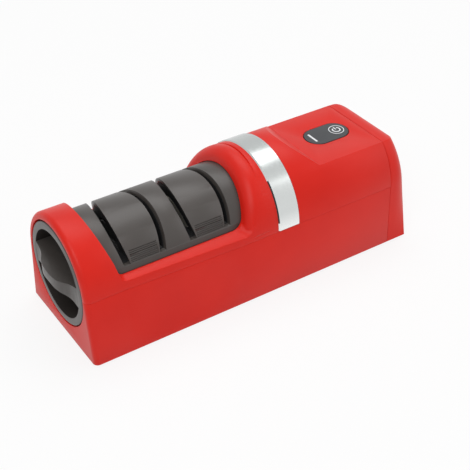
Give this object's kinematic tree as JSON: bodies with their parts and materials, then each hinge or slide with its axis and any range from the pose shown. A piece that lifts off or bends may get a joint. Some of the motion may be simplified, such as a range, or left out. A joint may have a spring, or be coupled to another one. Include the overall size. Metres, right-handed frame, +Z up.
{
  "type": "electric knife sharpener",
  "caption": "Bench-top electric knife sharpener: long red arched housing, grey slotted barrel over grinding wheels, twist-off end knob, chrome trim band and a push button",
  "frame": {"origin": "bottom centre of the bounding box, on the table under the rubber feet", "axes": "+X along the length from the end knob to the rear cap, +Z up, -Y the near long side"},
  "size_m": [0.18, 0.063, 0.0633],
  "materials": {
    "red_shell": "satin",
    "grey_shell": "satin",
    "black_plastic": "matte",
    "button_plastic": "satin",
    "chrome_trim": "polished",
    "steel": "satin",
    "bronze": "satin",
    "rubber": "matte",
    "coarse_grit": "gritty",
    "fine_grit": "fine gritty",
    "board": "satin",
    "cell_sleeve": "satin",
    "copper": "satin",
    "lamp": "satin"
  },
  "bodies": {
    "housing": {"lower_housing": "red_shell", "upper_housing": "red_shell", "rear_cap": "red_shell", "base_cover": "black_plastic", "rubber_feet": "rubber", "base_screws": "steel", "chrome_band": "chrome_trim", "barrel_cover": "grey_shell", "front_blade_guide": "black_plastic", "rear_blade_guide": "black_plastic", "board_screws": "steel", "mount_screws": "steel", "motor_screws": "steel", "battery_cells": "cell_sleeve", "push_switch": "black_plastic", "charging_inlet": "steel", "front_bearing": "bronze", "rear_bearing": "bronze", "motor_case": "steel", "knob_seal": "rubber", "bearing_carrier": "black_plastic", "motor_mount": "steel", "control_board": "board", "charging_board": "board", "battery_tray": "black_plastic"},
    "spindle": {"spindle": "steel", "coarse_wheel": "coarse_grit", "fine_wheel": "fine_grit", "wheel_spacer": "steel", "spindle_nut": "steel", "shaft_coupling": "steel", "rotor_shaft": "steel", "armature": "copper"},
    "knob": {"knob_cap": "grey_shell"},
    "button": {"power_button": "button_plastic", "indicator_window": "lamp", "switch_plunger": "button_plastic"}
  },
  "joints": [
    {"name": "spindle_spin", "type": "hinge", "parent": "housing", "child": "spindle", "pos_m": [-0.038, 0, 0.0325], "axis": [1, 0, 0], "continuous": true},
    {"name": "knob_turn", "type": "hinge", "parent": "housing", "child": "knob", "pos_m": [-0.086, 0, 0.0316], "axis": [1, 0, 0], "range_deg": [0, 60]},
    {"name": "button_press", "type": "slide", "parent": "housing", "child": "button", "axis": [0, 0, -1], "range_m": [0, 0.0006], "stiffness_N_per_m": 300}
  ]
}
